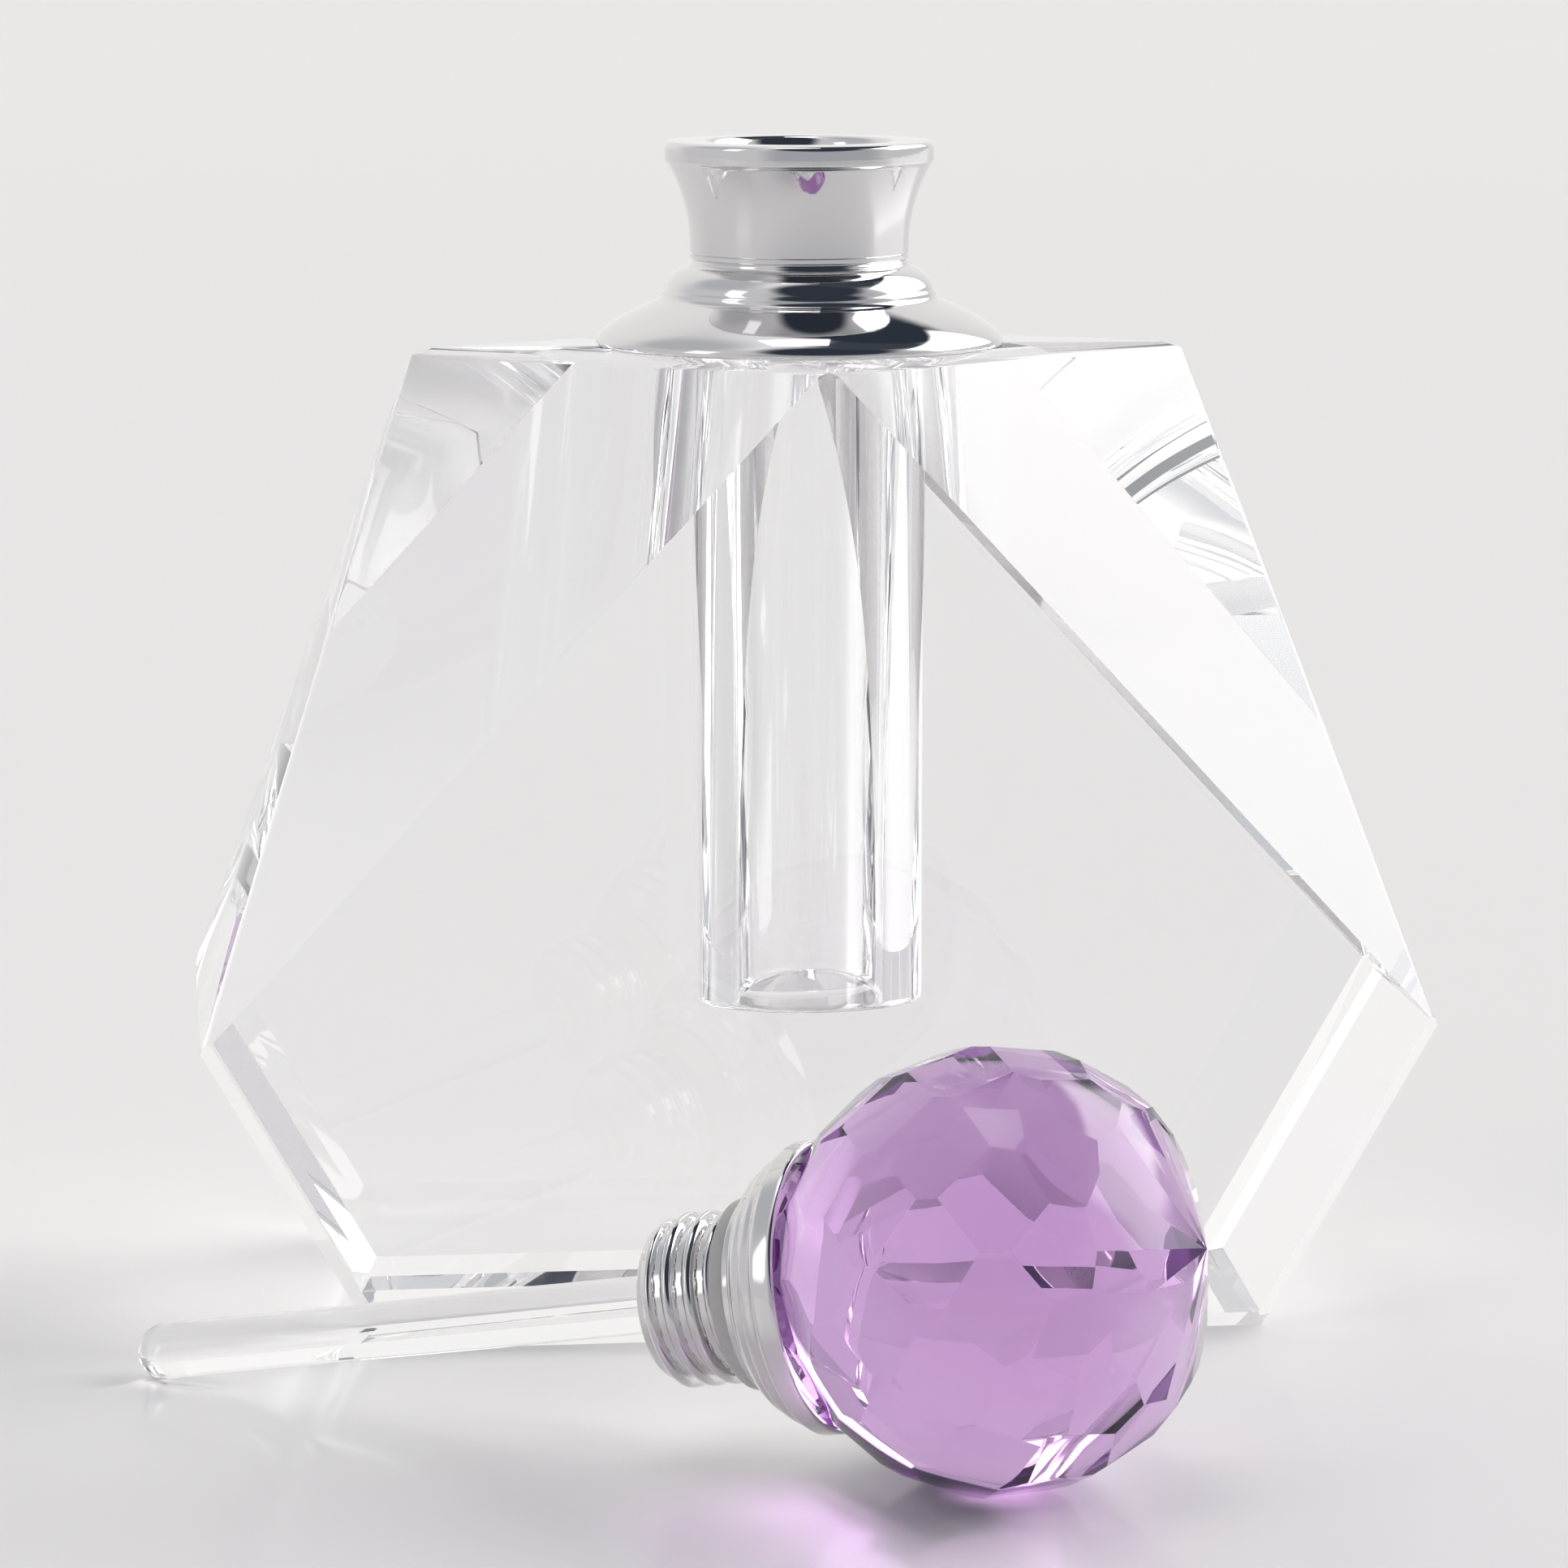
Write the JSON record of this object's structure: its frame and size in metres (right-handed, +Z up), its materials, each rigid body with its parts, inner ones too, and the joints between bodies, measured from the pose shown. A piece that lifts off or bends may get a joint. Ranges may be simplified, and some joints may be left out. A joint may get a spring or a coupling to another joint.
{
  "type": "perfume bottle",
  "caption": "Faceted crystal perfume bottle with an open polished metal screw neck, and its faceted ball stopper with a long dauber rod lying in front of it.",
  "frame": {"origin": "centre of the bottle's base, on the surface it stands on", "axes": "+Z up along the neck's axis, X along the bottle's width, -Y towards the front face and the stopper that lies in front"},
  "size_m": [0.0948, 0.088, 0.086],
  "materials": {
    "clear_crystal": "cut and polished clear crystal glass",
    "lilac_crystal": "cut and polished lilac crystal glass",
    "rod_glass": "drawn clear glass rod, fire-polished tip",
    "chromed_metal": "polished chrome plate over turned brass",
    "clear_glue": "clear cured adhesive film",
    "seal_polymer": "milky translucent polyethylene"
  },
  "bodies": {
    "bottle": {"glass_body": "clear_crystal", "collar_adhesive": "clear_glue", "neck_collar": "chromed_metal"},
    "seal": {"sealing_gasket": "seal_polymer"},
    "stopper": {"stopper_ball": "lilac_crystal", "ball_adhesive": "clear_glue", "ferrule_cup": "chromed_metal", "threaded_plug": "chromed_metal", "rod_bush": "seal_polymer", "dauber_rod": "rod_glass"}
  },
  "joints": [
    {"name": "stopper_swing", "type": "hinge", "parent": "bottle", "child": "seal", "pos_m": [-0.09323, 0.05424, 0.08712], "axis": [-0.3058, -0.9199, 0.2455], "range_deg": [0, 81.83]},
    {"name": "stopper_turn", "type": "hinge", "parent": "seal", "child": "stopper", "pos_m": [0.0069, -0.055, 0.01452], "axis": [0.8462, -0.4964, 0.1938], "continuous": true}
  ]
}
